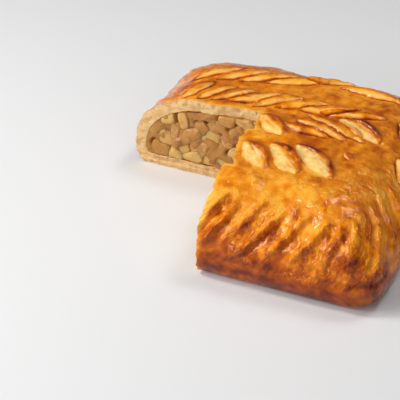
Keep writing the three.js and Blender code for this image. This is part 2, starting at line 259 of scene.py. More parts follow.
class PieColours(bpy.types.PropertyGroup):
    """Colours of dough and filling, from the palest to the most baked."""

    # The glaze's ramp from gold to chestnut also shows painted shade in the crevices, the foot crease and
    # the folds' right flanks, and painted highlights on the folds' left flanks and the fine crests
    gold: colour("Gold", 0xFFB238, "Egg wash where it baked least")
    amber: colour("Amber", 0xEA8608, "Egg wash over most of the lid")
    copper: colour("Copper", 0xB65000, "Egg wash on the sides and folds")
    chestnut: colour("Chestnut", 0x701E04, "The most baked ridges and lips")
    glint: colour("Glint", 0xFFCDA8, "Tint of the light that the egg wash reflects")
    slash_cream: colour("Slash cream", 0xFFE096, "Dough that opened late in a slash")
    slash_gold: colour("Slash gold", 0xF6B444, "Dough that browned in a slash")
    crumb: colour("Crumb", 0xE2BC80, "Cut dough")
    crumb_brown: colour("Crumb shade", 0xB87C38, "Cut dough where it is moist or baked through")
    apple: colour("Apple", 0xD2A05A, "Cooked apple")
    apple_green: colour("Apple green", 0xD8AE66, "Apple near the peel")
    apple_stained: colour("Stained apple", 0xB8803A, "Apple that soaked up juice")
    jelly: colour("Jelly", 0xB47E3A, "Juice that set between the apple pieces")
    jelly_deep: colour("Deep jelly", 0x84501E, "Juice where it lies deep")
    floor: colour("Floor", 0xEAEAEA, "The floor that the pie stands on")


def scene_sizes():
    scene = bpy.context.scene
    return scene.pie_sizes, scene.pie_dough


def smoothstep(value, low, high):
    share = np.clip((value - low) / (high - low), 0, 1)
    return share * share * (3 - 2 * share)


def bell(value, middle, width):
    """A smooth hump from 0 to 1 round the middle."""
    return np.exp(-(((value - middle) / width) ** 2))


def lattice_noise(points, size, seed):
    """Smooth noise from -1 to 1 over points, with features of about that size."""
    table = np.random.default_rng(seed).uniform(-1, 1, (NOISE_CELLS,) * 3)
    scaled = np.asarray(points) / size
    cell = np.floor(scaled).astype(int)
    part = smoothstep(scaled - cell, 0, 1)
    total = np.zeros(len(scaled))
    for corner in itertools.product((0, 1), repeat=3):
        weight = np.where(corner, part, 1 - part).prod(axis=1)
        index = (cell + corner) % NOISE_CELLS
        total += weight * table[tuple(index.T)]
    return total


def rough_noise(points, size, seed, octaves=3):
    """Noise with finer and weaker noise on top."""
    total = np.zeros(len(points))
    for octave in range(octaves):
        total += lattice_noise(points, size / 2**octave, seed + octave) / 2**octave
    return total


class PieForm:
    """The pie's smooth form, or the room inside it: a rounded square that shrinks evenly towards its
    middle, and a side of two quarter ellipses under a low dome."""

    CORE = 0.04
    SIDE_SIGNS = np.array(((1, 1), (-1, 1), (-1, -1), (1, -1)))

    def __init__(self, sizes, inset, foot, widest, top, tuck, shoulder):
        self.half = np.array((sizes.half_length, sizes.half_width))
        self.bow = sizes.side_bow / sizes.half_width
        self.radii = np.array(CORNER_RADII)
        dome = np.linspace(0, 1, DOME_STEPS)
        quarter = np.linspace(math.pi / 2, 0, QUARTER_STEPS)
        edge = inset + shoulder
        insets = np.concatenate((
            edge + (sizes.half_width - edge) * (1 - dome),
            inset + shoulder * (1 - np.cos(quarter[1:])),
            inset + tuck * (1 - np.cos(quarter[::-1][1:])),
        ))
        heights = np.concatenate((
            top + sizes.dome_rise * np.sin((1 - dome) * math.pi / 2),
            widest + (top - widest) * np.sin(quarter[1:]),
            widest - (widest - foot) * np.sin(quarter[::-1][1:]),
        ))
        run = np.concatenate(((0,), np.cumsum(np.hypot(np.diff(insets), np.diff(heights)))))
        self.inset, self.z, self.run = insets, heights, run
        self.widest_run = run[len(dome) + len(quarter) - 2]
        out, up = -np.gradient(heights, run), -np.gradient(insets, run)
        steep = np.hypot(out, up)
        self.out, self.up = out / steep, up / steep

    def corner(self, index, inset):
        """Centre and radius of the plan's rounded corners at that inset."""
        radius = self.radii[index] * (1 - inset / self.half[0])
        centre = self.SIDE_SIGNS[index] * (self.half - inset[:, None] - radius[:, None])
        return centre, radius

    def plan(self, side, share, inset):
        """Points of the plan, from the middle of one corner by way of a side to the next corner."""
        after = (side + 1) % 4
        first, last = self.radii[side] * math.pi / 4, self.radii[after] * math.pi / 4
        span = 2 * self.half[side % 2] - self.radii[side] - self.radii[after]
        along = share * (first + span + last)
        turn = side * 2 + 1 + np.clip(along / first, 0, 1) + np.clip((along - first - span) / last, 0, 1)
        normal = np.stack((np.cos(turn * math.pi / 4), np.sin(turn * math.pi / 4)), axis=1)
        shift = np.clip((along - first) / span, 0, 1)[:, None]
        centre, radius = self.corner(side, inset)
        next_centre, next_radius = self.corner(after, inset)
        start = centre + radius[:, None] * normal
        end = next_centre + next_radius[:, None] * normal
        return start + (end - start) * shift, normal, along

    def around(self):
        """Distance round the pie at which each side's path starts, and the whole way round."""
        sides = np.arange(4)
        spans = 2 * self.half[sides % 2] - self.radii[sides] - self.radii[(sides + 1) % 4]
        lengths = spans + (self.radii[sides] + self.radii[(sides + 1) % 4]) * math.pi / 4
        return np.concatenate(((0,), np.cumsum(lengths)))

    def wrap(self, grid):
        """Wraps points of a flat square from -1 to 1 over the form, its middle on the lid's middle."""
        reach = np.abs(grid).max(axis=1)
        safe = np.maximum(reach, 1e-9)
        u, v = grid.T
        side = np.select((v >= safe, -u >= safe, -v >= safe), (0, 1, 2), 3)
        share = (1 - np.choose(side, (u, v, -u, -v)) / safe) / 2
        run = reach * self.run[-1]
        outer_run = np.maximum(reach, self.CORE) * self.run[-1]
        flat, normal, along = self.plan(side, share, np.interp(outer_run, self.run, self.inset))
        flat = flat * (run / outer_run)[:, None]
        out = np.interp(run, self.run, self.out)
        up = np.interp(run, self.run, self.up)
        starts = self.around()
        return {
            "flat": flat,
            "point": self.bowed(np.column_stack((flat, np.interp(run, self.run, self.z)))),
            "normal": np.column_stack((normal * out[:, None], up)),
            "around": (starts[side] + along) / starts[-1],
            "above_foot": self.run[-1] - run,
            "run": run,
        }

    def bow_factor(self, x):
        """How much further out the front and back reach at x than at the corners."""
        return 1 + (1 - (x / self.half[0]) ** 2) * self.bow

    def bowed(self, points):
        """Lets the front and back bow outwards."""
        bowed = points.copy()
        bowed[:, 1] *= self.bow_factor(points[:, 0])
        return bowed

    def inset_at(self, points):
        """How far inside the widest outline each point lies."""
        x, y = points[:, 0], points[:, 1] / self.bow_factor(points[:, 0])
        index = np.select((((x >= 0) & (y >= 0)), ((x < 0) & (y >= 0)), ((x < 0) & (y < 0))), (0, 1, 2), 3)
        flat = np.column_stack((x, y))
        low, high = np.zeros(len(x)), np.full(len(x), self.half[1])
        for _ in range(INSET_STEPS):
            middle = (low + high) / 2
            centre, radius = self.corner(index, middle)
            over = np.maximum(np.abs(flat) - np.abs(centre), 0)
            inside = np.hypot(*over.T) < radius
            low, high = np.where(inside, middle, low), np.where(inside, high, middle)
        return low

    def holds(self, points):
        """Whether each point lies inside the form."""
        inset = self.inset_at(points)
        side = self.run <= self.widest_run
        roof = np.interp(inset, self.inset[side][::-1], self.z[side][::-1], left=-1)
        floor = np.interp(inset, self.inset[~side], self.z[~side], left=1, right=self.z[-1])
        return (points[:, 2] < roof) & (points[:, 2] > floor)


def outer_form():
    sizes, _ = scene_sizes()
    return PieForm(
        sizes, 0, 0, sizes.bulge_height, sizes.shoulder_height, sizes.base_tuck, sizes.shoulder_width
    )


def room_form(gap):
    """The room for the filling, shrunk by a gap."""
    sizes, _ = scene_sizes()
    foot = sizes.base + gap
    return PieForm(
        sizes,
        sizes.wall + gap,
        foot,
        foot + ROOM_ROUNDING,
        sizes.shoulder_height - sizes.lid - gap,
        ROOM_ROUNDING,
        sizes.shoulder_width - 2 * MM,
    )


def deselect_all():
    bpy.ops.object.select_all(action="DESELECT")


def select_only(piece):
    deselect_all()
    piece.select_set(True)
    bpy.context.view_layer.objects.active = piece


def read_values(items, name, kind=float, width=1):
    """One value, or one row of values, for each item of a mesh."""
    values = np.empty(len(items) * width, kind)
    items.foreach_get(name, values)
    return values if width == 1 else values.reshape(-1, width)


def read_points(mesh):
    return read_values(mesh.vertices, "co", width=3)


def write_points(mesh, points):
    mesh.vertices.foreach_set("co", np.ascontiguousarray(points, np.float32).ravel())
    mesh.update()


def face_centres(mesh):
    return read_values(mesh.polygons, "center", width=3)


def write_attribute(mesh, name, values):
    kind, field = ("FLOAT_VECTOR", "vector") if values.ndim == 2 else ("FLOAT", "value")
    attribute = mesh.attributes.get(name) or mesh.attributes.new(name, kind, "POINT")
    attribute.data.foreach_set(field, np.ascontiguousarray(values, np.float32).ravel())


def read_attribute(mesh, name):
    attribute = mesh.attributes[name]
    if attribute.data_type == "FLOAT_VECTOR":
        return read_values(attribute.data, "vector", np.float32, 3)
    return read_values(attribute.data, "value", np.float32)


def flat_grid(name, columns, rows):
    """A grid from -1 to 1, as a start for a wrapped skin or a wall."""
    deselect_all()
    bpy.ops.mesh.primitive_grid_add(x_subdivisions=columns, y_subdivisions=rows, size=2)
    piece = bpy.context.object
    piece.name = piece.data.name = name
    return piece


def subdivide_where(piece, chosen):
    """Cuts the chosen faces in four."""
    bpy.context.tool_settings.mesh_select_mode = (False, False, True)
    bpy.ops.object.mode_set(mode="EDIT")
    bpy.ops.mesh.select_all(action="DESELECT")
    bpy.ops.object.mode_set(mode="OBJECT")
    piece.data.polygons.foreach_set("select", chosen)
    bpy.ops.object.mode_set(mode="EDIT")
    bpy.ops.mesh.subdivide(number_cuts=1)
    bpy.ops.object.mode_set(mode="OBJECT")


def close_underside(piece):
    """Fills the open foot with one flat face."""
    bpy.context.tool_settings.mesh_select_mode = (False, True, False)
    bpy.ops.object.mode_set(mode="EDIT")
    bpy.ops.mesh.select_all(action="DESELECT")
    bpy.ops.mesh.select_non_manifold(extend=False)
    bpy.ops.mesh.edge_face_add()
    bpy.ops.mesh.select_all(action="SELECT")
    bpy.ops.mesh.normals_make_consistent(inside=False)
    bpy.ops.object.mode_set(mode="OBJECT")


def split_to_triangles(piece):
    """Makes every face flat, because a cut across a bent one leaves flaps without thickness."""
    select_only(piece)
    bpy.ops.object.mode_set(mode="EDIT")
    bpy.ops.mesh.select_all(action="SELECT")
    bpy.ops.mesh.quads_convert_to_tris(quad_method="BEAUTY", ngon_method="BEAUTY")
    bpy.ops.object.mode_set(mode="OBJECT")


def cut_with(piece, cutter):
    """Takes the cutter out of the piece and removes it."""
    split_to_triangles(cutter)
    split_to_triangles(piece)
    modifier = piece.modifiers.new("Cut", "BOOLEAN")
    modifier.operation = "DIFFERENCE"
    modifier.solver = "MANIFOLD"
    modifier.object = cutter
    bpy.ops.object.modifier_apply(modifier=modifier.name)
    bpy.data.objects.remove(cutter)


def smooth_by_angle(piece, degrees):
    select_only(piece)
    bpy.ops.object.shade_smooth_by_angle(angle=math.radians(degrees))


def between(ends, share):
    """The value at that share of the way from the first end to the last."""
    first, last = np.array(ends)
    return first + share * (last - first)


def slashes():
    """Every slash in metres and radians, with a little seeded unevenness."""
    random = np.random.default_rng(SLASH_SEED)
    found = []
    for start, end, count, angles, lengths, widths, paleness, lip in SLASH_ROWS:
        for share in np.linspace(0, 1, count) if count > 1 else (0.0,):
            found.append({
                "middle": (between((start, end), share) + random.uniform(-0.5, 0.5, 2)) * MM,
                "angle": math.radians(between(angles, share) + random.uniform(-2, 2)),
                "length": between(lengths, share) * MM,
                "width": between(widths, share) * MM,
                "paleness": paleness * random.uniform(0.85, 1.1),
                "lip": lip * random.uniform(0.7, 1.1),
                "fade": random.uniform(-0.12, 0.12),
                "seed": int(random.integers(1000)),
            })
    return found


def slash_place(slash, flat, reach):
    """Which points lie by a slash, and there: the distance along and across it, how full it is, from 1
    in its middle to 0 at its tips, where its near and far edges run, and the place for its noise."""
    offset = flat - slash["middle"]
    along = offset @ (math.cos(slash["angle"]), math.sin(slash["angle"]))
    across = offset @ (-math.sin(slash["angle"]), math.cos(slash["angle"]))
    fullness = np.clip(1 - (2 * along / slash["length"]) ** 2, 0, 1)
    index = np.flatnonzero((fullness > 0) & (np.abs(across) < slash["width"] + reach))
    spot = np.column_stack((flat[index], np.full(len(index), slash["seed"] * MM)))
    along, across, fullness = along[index], across[index], fullness[index]
    wander = rough_noise(spot, 8 * MM, 31, 2)
    near = -0.5 * slash["width"] * fullness**1.1 * (1 + 0.12 * wander)
    far = 0.5 * slash["width"] * fullness**0.8 * (1 + 0.15 * lattice_noise(spot, 9 * MM, 33))
    return index, along, across + 0.5 * MM * wander, fullness, near, far, spot


def slash_height(slash, across, fullness, near, far, dough):
    """Height of one slash over the smooth lid: a crevice, bare dough that swells and rises to the far
    lip, the lip's roll and the slope behind it."""
    size = min(1.0, slash["width"] / (6 * MM))
    crest = dough.crest_height * size * fullness**0.6 * (1 - 0.3 * slash["paleness"])
    depth = dough.slash_depth * size * np.sqrt(fullness) * (1 - 0.7 * slash["paleness"] ** 2)
    share = np.clip((across - near) / np.maximum(far - near, 1e-9), 0, 1)
    swell = 0.25 * MM * size * slash["paleness"] * fullness * np.sin(share * math.pi)
    ramp = crest * (1 - 0.2 * slash["lip"]) * np.sin(share * math.pi / 2)
    face = -depth * np.exp((near - across) / (0.9 * MM)) + ramp + swell
    slope = dough.back_slope * (0.4 + 0.6 * fullness)
    behind = crest * (1 - smoothstep(across - far, 0, slope))
    roll = 1.7 * MM * slash["lip"] * size * fullness**0.45 * bell(across, far + 1.6 * MM, 2.2 * MM)
    apron = -0.6 * depth * np.exp((across - near) / (1.2 * MM))
    return np.select((across <= near, across < far), (apron, face), behind) + roll


def slash_relief(flat, dough):
    """Height of all slashes, and masks of their pale faces, dark lips, opened dough and the painted shade
    along their crevices.
    """
    height, pale, lip, crevice, opened = np.zeros((5, len(flat)))
    for slash in slashes():
        index, along, across, fullness, near, far, spot = slash_place(slash, flat, 2 * dough.back_slope)
        height[index] += slash_height(slash, across, fullness, near, far, dough)
        share = (across - near) / np.maximum(far - near, 1e-9)
        inside = (share > 0) & (share < 1)
        drawn = np.column_stack((0.2 * along, across, spot[:, 2]))
        streak = rough_noise(drawn, 2 * MM, 35, 2)
        edge = bell(across, far + 1.3 * MM, 2 * MM) * fullness**0.4
        edge = edge * slash["lip"] * np.clip(0.85 + 0.5 * lattice_noise(spot, 8 * MM, 36), 0, 1.2)
        lip[index] = np.maximum(lip[index], edge)
        # A line of painted shade along each crevice, fainter where the slash stayed pale
        cut = bell(across, near, 0.85 * MM) * fullness**0.25
        crevice[index] = np.maximum(crevice[index], cut * (1.5 - 1.35 * slash["paleness"]))
        fade = 0.02 + 0.5 * slash["paleness"] + slash["fade"] + 0.15 * streak
        bare = smoothstep(share, 0, 0.28) * (1 - smoothstep(share, fade, fade + 0.45))
        face = bare * (0.1 + 1.1 * slash["paleness"]) * (1 + 0.8 * streak) * smoothstep(fullness, 0, 0.4)
        pale[index] = np.where(inside, face, pale[index])
        golden = inside * fullness**0.4 * (1 - 1.5 * smoothstep(share, 0.55, 1)) * (1 + 0.7 * streak)
        rim = bell(across, near, 2.2 * MM) * fullness**0.4 * slash["paleness"] ** 2
        opened[index] = np.where(inside, golden, np.maximum(opened[index], rim * (share <= 0)))
    return height, np.clip(pale, 0, 1), np.clip(lip, 0, 1), np.clip(crevice, 0, 1), opened


def round_places(wrapped, lean):
    """Points of a cylinder as long round as the pie, sheared by the folds' lean: noise over them has
    no seam and is drawn out along the folds."""
    whole = outer_form().around()[-1]
    turn = 2 * math.pi * (wrapped["around"] - lean * wrapped["above_foot"] / whole)
    radius = whole / (2 * math.pi)
    return np.column_stack((radius * np.cos(turn), radius * np.sin(turn), wrapped["above_foot"]))


def front_middle(form):
    """Distance round the pie to the middle of its front."""
    return form.around()[2] + form.radii[2] * math.pi / 4 + form.half[0] - form.radii[2]


def browned_spots(wrapped, form):
    """How close each point is to a browned spot of the front, from 0 to 1."""
    along = wrapped["around"] * form.around()[-1] - front_middle(form)
    level = wrapped["point"][:, 2]
    found = np.zeros(len(along))
    for spot in BROWNED_SPOTS:
        x, height, reach = (value * MM for value in spot)
        distance = np.hypot(along - x - 0.4 * (level - height), level - height)
        found = np.maximum(found, bell(distance, 0, reach))
    return found * smoothstep(lattice_noise(wrapped["point"], 4 * MM, 62), -0.6, 0.3)


def folds(form, dough):
    """Every fold: where round the pie it crosses the folds' level, its lean, strength, middle height
    and half length. The front's are given, and the rest follow the pitch with seeded unevenness."""
    random = np.random.default_rng(FOLD_SEED)
    whole = form.around()[-1]
    found = [(front_middle(form) + x * MM, lean, strength) for x, lean, strength in FRONT_FOLDS]
    place = found[-1][0] + dough.fold_pitch
    while place < found[0][0] + whole - dough.fold_pitch:
        found.append((place, FOLD_LEAN + random.uniform(-0.25, 0.25), random.uniform(0.45, 1.05)))
        place += dough.fold_pitch * random.uniform(0.65, 1.2)
    return [
        (*fold, FOLD_LEVEL + random.uniform(-5, 4) * MM, random.uniform(15, 20) * MM) for fold in found
    ]


def fold_relief(wrapped, form, dough):
    """Height of the leaning folds round the sides, and masks of their ridges, of the painted shade on their
    steep right flanks, of the painted highlight on their broad left flanks and of the crease above the foot."""
    up, point = wrapped["above_foot"], wrapped["point"]
    whole = form.around()[-1]
    upright = round_places(wrapped, 0)
    drift = 1.3 * MM * lattice_noise(upright, 18 * MM, 3) + 0.7 * MM * lattice_noise(upright, 7 * MM, 4)
    calmer_back = 0.22 + 0.78 * smoothstep(-point[:, 1], -50 * MM, 70 * MM)
    uneven = np.clip(1 + 0.35 * lattice_noise(upright, 13 * MM, 9), 0.5, 1.3)
    height, ridge, shaded_flank, lit_flank = np.zeros((4, len(up)))
    for place, lean, strength, middle, reach in folds(form, dough):
        offset = wrapped["around"] * whole - place - lean * (up - FOLD_LEVEL) + drift
        offset = (offset + whole / 2) % whole - whole / 2
        index = np.flatnonzero((np.abs(offset) < FOLD_REACH) & (np.abs(up - middle) < reach))
        offset = offset[index]
        lift = (1 - ((up[index] - middle) / reach) ** 2) ** 0.75 * strength * calmer_back[index]
        lift = lift * uneven[index]
        rope = bell(offset, 0, np.where(offset < 0, ROPE_LEFT, ROPE_RIGHT))
        hollows = bell(offset, *LEFT_CREASE) + bell(offset, *RIGHT_CREASE)
        height[index] += lift * (rope + 0.2 * (bell(offset, *FOLD_SWELL) - hollows))
        ridge[index] = np.maximum(ridge[index], lift * rope)
        # Painted shade on a fold's steep right flank, and a painted highlight on its broad left flank
        shaded_flank[index] = np.maximum(shaded_flank[index], lift * bell(offset, *SHADED_FLANK))
        lit_flank[index] = np.maximum(lit_flank[index], lift * bell(offset, *LIT_FLANK))
    level = FOOT_CREASE_LEVEL + 5 * MM * lattice_noise(upright, 34 * MM, 6)
    torn = smoothstep(lattice_noise(upright, 20 * MM, 8), -0.4, 0.5)
    crease = (0.35 + 0.65 * torn) * bell(up, level, FOOT_CREASE_WIDTH)
    height = dough.fold_height * height - FOOT_CREASE_DEPTH * crease
    return height, ridge, shaded_flank, lit_flank, crease


def drawn_places(wrapped):
    """Places for patterns that are drawn out along the folds."""
    return round_places(wrapped, FOLD_LEAN) * (1, 1, GRAIN_STRETCH)


def grained_noise(wrapped, side, size, seed, octaves=3):
    """Noise that is drawn out along the folds on the sides, and even on the lid."""
    warp = 0.6 * size * lattice_noise(wrapped["point"], 3 * size, seed + 50)[:, None]
    on_side = rough_noise(drawn_places(wrapped) + warp, size, seed, octaves)
    on_lid = rough_noise(wrapped["point"] + warp, size, seed + 20, octaves)
    return on_lid + (on_side - on_lid) * side


def wrinkle_relief(wrapped, side, patches, dough):
    """Wrinkles that gather in patches, with sharp crests between rounded hollows."""
    pitch = dough.wrinkle_pitch
    coarse = 0.5 - np.abs(grained_noise(wrapped, side, pitch, 11, 2))
    fine = 0.4 - np.abs(grained_noise(wrapped, side, pitch * 0.55, 14, 1))
    return dough.wrinkle_height * (coarse * (0.2 + 0.8 * patches) + 0.55 * fine * patches)


def torn_end(along, tears):
    """How far the torn lid is set back, for the distance along the cut."""
    places, outs = np.array(tears).T * MM
    return np.interp(along, places, outs)


def cut_edge(flat, reach):
    """How close each point of the skin lies to the two cuts, from 0 to 1."""
    sizes, _ = scene_sizes()
    to_side = flat[:, 0] - sizes.side_face - torn_end(flat[:, 1], SIDE_TEARS)
    to_back = flat[:, 1] - sizes.back_face - torn_end(flat[:, 0], BACK_TEARS)
    distance = np.maximum(to_side, to_back)
    return np.exp(-np.clip(distance, 0, 1) / reach)


def wrinkled_patches(point, marks):
    """Where wrinkles gather, from 0 to 1."""
    gather = smoothstep(rough_noise(point, 15 * MM, 45, 2), -0.35, 0.5)
    patches = (0.15 + 0.7 * marks["side"] + 0.6 * marks["front_band"]) * (0.15 + 0.85 * gather)
    patches = np.clip(patches + 0.9 * marks["ridge"] + marks["flaked"], 0, 1) * marks["calm"]
    patches = np.clip(patches + marks["spots"], 0, 1)
    return patches * (1 - marks["pale"]) * (1 - np.abs(marks["opened"]))


def skin_marks(wrapped, form, dough):
    """Heights of the slashes and folds, and a mask of each thing that marks the skin."""
    point, up, flat = wrapped["point"], wrapped["above_foot"], wrapped["flat"]
    on_top = wrapped["run"] < form.widest_run
    names = ("slash", "pale", "lip", "crevice", "opened")
    marks = {name: values * on_top for name, values in zip(names, slash_relief(flat, dough))}
    names = ("fold", "ridge", "shaded_flank", "lit_flank", "crease")
    marks.update(zip(names, fold_relief(wrapped, form, dough)))
    marks["side"] = smoothstep(up, 14 * MM, 26 * MM) * (1 - smoothstep(up, 52 * MM, 76 * MM))
    marks["front_band"] = smoothstep(up, 45 * MM, 62 * MM) * (1 - smoothstep(up, 78 * MM, 96 * MM))
    marks["spots"] = browned_spots(wrapped, form)
    marks["flaked"] = bell(np.hypot(*(flat - FLAKED_SPOT).T), 0, FLAKED_REACH)
    calm = 0.25 + 0.75 * smoothstep(-point[:, 1], -50 * MM, 70 * MM)
    marks["calm"] = calm * (1 - 0.7 * cut_edge(flat, 5 * MM))
    marks["patches"] = wrinkled_patches(point, marks)
    return marks


def skin_relief(wrapped, marks, dough):
    """How far the skin stands out from the smooth form."""
    point = wrapped["point"]
    wrinkle = wrinkle_relief(wrapped, marks["side"], marks["patches"], dough)
    swell = 1.4 * MM * lattice_noise(point, 32 * MM, 21) + 0.7 * MM * lattice_noise(point, 12 * MM, 22)
    puffed = 0.15 + 0.85 * np.maximum(marks["side"], marks["front_band"])
    swell += 0.6 * MM * grained_noise(wrapped, marks["side"], 7 * MM, 23, 2) * puffed * marks["calm"]
    porous = 0.25 * MM * rough_noise(point, 2.4 * MM, 25, 2) * marks["pale"]
    foot = smoothstep(wrapped["above_foot"], 0, 12 * MM)
    return foot * (marks["fold"] + wrinkle + swell) + marks["slash"] + porous


def baked_and_shaded_share(wrapped, marks):
    """How dark the glaze is at each point: about 0 where it is golden, and 1 where it is chestnut. It holds
    the browning together with the painted shade and painted highlights of the folds, the crevices and the
    foot crease.
    """
    point, up, side = wrapped["point"], wrapped["above_foot"], marks["side"]
    lower = 1 - smoothstep(up, 22 * MM, 60 * MM)
    base = (1 - smoothstep(up, 8 * MM, 32 * MM)) * smoothstep(up, -8 * MM, 9 * MM)
    light_band = marks["front_band"] * smoothstep(-point[:, 1], 20 * MM, 60 * MM)
    light_band = light_band * (1 - smoothstep(point[:, 0], 45 * MM, 80 * MM))
    layered = rough_noise(round_places(wrapped, 0) * (1, 1, 3.5), 14 * MM, 49)
    blotch = rough_noise(point, 24 * MM, 41)
    streak = grained_noise(wrapped, side, 5 * MM, 43)
    burnt = smoothstep(rough_noise(point, 12 * MM, 47), 0.3, 1.0) * (0.15 + 0.85 * side)
    broken = 0.6 + 0.5 * grained_noise(wrapped, side, 3.5 * MM, 48, 2)
    # Darker towards the foot and on the base, and lighter in a band along the upper front
    everywhere = 0.36 + 0.24 * lower + base * (0.33 + 0.09 * layered) - 0.12 * light_band
    uneven = 0.15 * blotch + (0.17 + 0.1 * side) * streak + 0.28 * burnt + 0.32 * marks["spots"]
    # The folds' steep right flanks are darkened with painted shade, and their broad left flanks lightened
    # with a painted highlight
    on_folds = 0.2 * (marks["shaded_flank"] * broken - marks["lit_flank"]) + 0.1 * marks["ridge"]
    # The crease above the foot is darkened with painted shade, and the flaked spot is browner
    on_folds += 0.25 * marks["crease"] + 0.25 * marks["flaked"]
    # The lips are browned, the crevices darkened with painted shade, and the opened dough is paler
    on_slashes = 0.8 * marks["lip"] + 0.7 * marks["crevice"] - 0.28 * marks["opened"]
    return everywhere + uneven + on_folds + on_slashes - 0.45 * cut_edge(wrapped["flat"], 2 * MM)


def shape_skin(piece):
    """Wraps the flat grid over the pie, raises its relief and stores how baked each point is."""
    form = outer_form()
    _, dough = scene_sizes()
    wrapped = form.wrap(read_points(piece.data)[:, :2])
    marks = skin_marks(wrapped, form, dough)
    relief = skin_relief(wrapped, marks, dough)
    # The painted shade in the crevices also takes their pale dough away
    pale = marks["pale"] * (1 - marks["lip"]) - 0.5 * marks["crevice"]
    write_points(piece.data, wrapped["point"] + wrapped["normal"] * relief[:, None])
    # The 'baked' share also carries the painted shade and the painted highlights
    write_attribute(piece.data, "baked", np.clip(baked_and_shaded_share(wrapped, marks), 0, 1.2))
    write_attribute(piece.data, "pale", np.clip(pale, 0, 1))
    write_attribute(piece.data, "wrinkled", marks["patches"])
    write_attribute(piece.data, "side", marks["side"])
    write_attribute(piece.data, "drawn", drawn_places(wrapped))
    write_attribute(piece.data, "skin", np.ones(len(relief)))


def near_slash(form, centres, margin, lines_only):
    """Faces of the flat grid that lie on a slash, or only those along its crevice and lip."""
    _, dough = scene_sizes()
    wrapped = form.wrap(centres[:, :2])
    chosen = np.zeros(len(centres), bool)
    for slash in slashes():
        index, _, across, _, near, far, _ = slash_place(slash, wrapped["flat"], dough.back_slope)
        if lines_only:
            chosen[index] |= np.minimum(np.abs(across - near), np.abs(across - far)) < margin
        else:
            chosen[index] |= (across > near - margin) & (across < far + 0.5 * dough.back_slope)
    return chosen & (wrapped["run"] < form.widest_run)


def skin_piece():
    """The baked skin as one closed body, finest along the slashes."""
    form = outer_form()
    piece = flat_grid("crust_dough", SKIN_CELLS, SKIN_CELLS)
    for margin, lines_only in ((1.5 * MM, False), (1.1 * MM, True)):
        subdivide_where(piece, near_slash(form, face_centres(piece.data), margin, lines_only))
    shape_skin(piece)
    close_underside(piece)
    return piece


def room_piece(name, gap):
    """The room for the filling as a closed body, shrunk by a gap."""
    form = room_form(gap)
    piece = flat_grid(name, ROOM_CELLS, ROOM_CELLS)
    write_points(piece.data, form.wrap(read_points(piece.data)[:, :2])["point"])
    close_underside(piece)
    return piece


def dough_end(along, height, tears, seed):
    """How far the dough's end is set back from the cut: thin sheets, the torn lid, crumb and pores."""
    tops, set_back = np.array(SHEETS).T * MM
    sheet = np.append(set_back, 0)[np.searchsorted(tops, height)]
    torn = smoothstep(height, LID_CUT_BOTTOM, LID_CUT_BOTTOM + 1.2 * MM)
    spot = np.column_stack((along, height, np.zeros(len(along))))
    layers = 0.3 * MM * rough_noise(spot * (0.25, 1, 1), 1.6 * MM, seed, 2)
    crumb = 0.35 * MM * rough_noise(spot, 3.2 * MM, seed + 1)
    pores = 2.4 * MM * np.clip(lattice_noise(spot, 2.6 * MM, seed + 2) - 0.45, 0, 1)
    ragged = 0.5 * MM * rough_noise(spot, 5 * MM, seed + 3) * torn
    return sheet * (1 - torn) + torn_end(along, tears) * torn + layers + crumb + pores + ragged


def jelly_end(along, height, tears, seed):
    """How far the jelly between the apple pieces is set back from the cut."""
    spot = np.column_stack((along, height, np.zeros(len(along))))
    pits = 4.0 * MM * smoothstep(lattice_noise(spot, 6 * MM, seed + 5), 0.2, 0.8)
    return 1.5 * MM * rough_noise(spot, 7 * MM, seed, 3) + pits


def notch_cutter(name, cell, end):
    """A closed block over the cut corner. Its two inner walls carry relief: the function says how far
    a wall is set back, for the distance along it and the height."""
    sizes, _ = scene_sizes()
    corner = np.array((sizes.side_face, sizes.back_face))
    runs = OUTSIDE + corner[::-1]
    cells = np.round(runs / cell).astype(int)
    levels = round((CUT_TOP - CUT_BOTTOM) / cell)
    piece = flat_grid(name, cells.sum(), levels)
    u, v, _ = read_points(piece.data).T
    share = (u + 1) / 2
    turn = cells[0] / cells.sum()
    on_side, on_back = share < turn + 1e-6, share > turn - 1e-6
    x = np.where(on_side, corner[0], corner[0] - (share - turn) / (1 - turn) * runs[1])
    y = np.where(on_side, corner[1] - (1 - share / turn) * runs[0], corner[1])
    z = CUT_BOTTOM + (v + 1) / 2 * (CUT_TOP - CUT_BOTTOM)
    moved_x = x + end(y, z, SIDE_TEARS, 61) * on_side
    moved_y = y + end(x, z, BACK_TEARS, 71) * on_back
    write_points(piece.data, np.column_stack((moved_x, moved_y, z)))
    bpy.ops.object.mode_set(mode="EDIT")
    bpy.ops.mesh.select_all(action="SELECT")
    bpy.ops.mesh.extrude_region_move(TRANSFORM_OT_translate={"value": (-OUTSIDE, -OUTSIDE, 0)})
    bpy.ops.mesh.select_all(action="SELECT")
    bpy.ops.mesh.normals_make_consistent(inside=False)
    bpy.ops.object.mode_set(mode="OBJECT")
    return piece


def polygon_slots(mesh):
    return read_values(mesh.polygons, "material_index", int)


def points_of_slot(mesh, slot):
    """Whether each point belongs to a face with that material slot."""
    loops = read_values(mesh.loops, "vertex_index", int)
    totals = read_values(mesh.polygons, "loop_total", int)
    found = np.zeros(len(mesh.vertices), bool)
    found[loops[np.repeat(polygon_slots(mesh) == slot, totals)]] = True
    return found


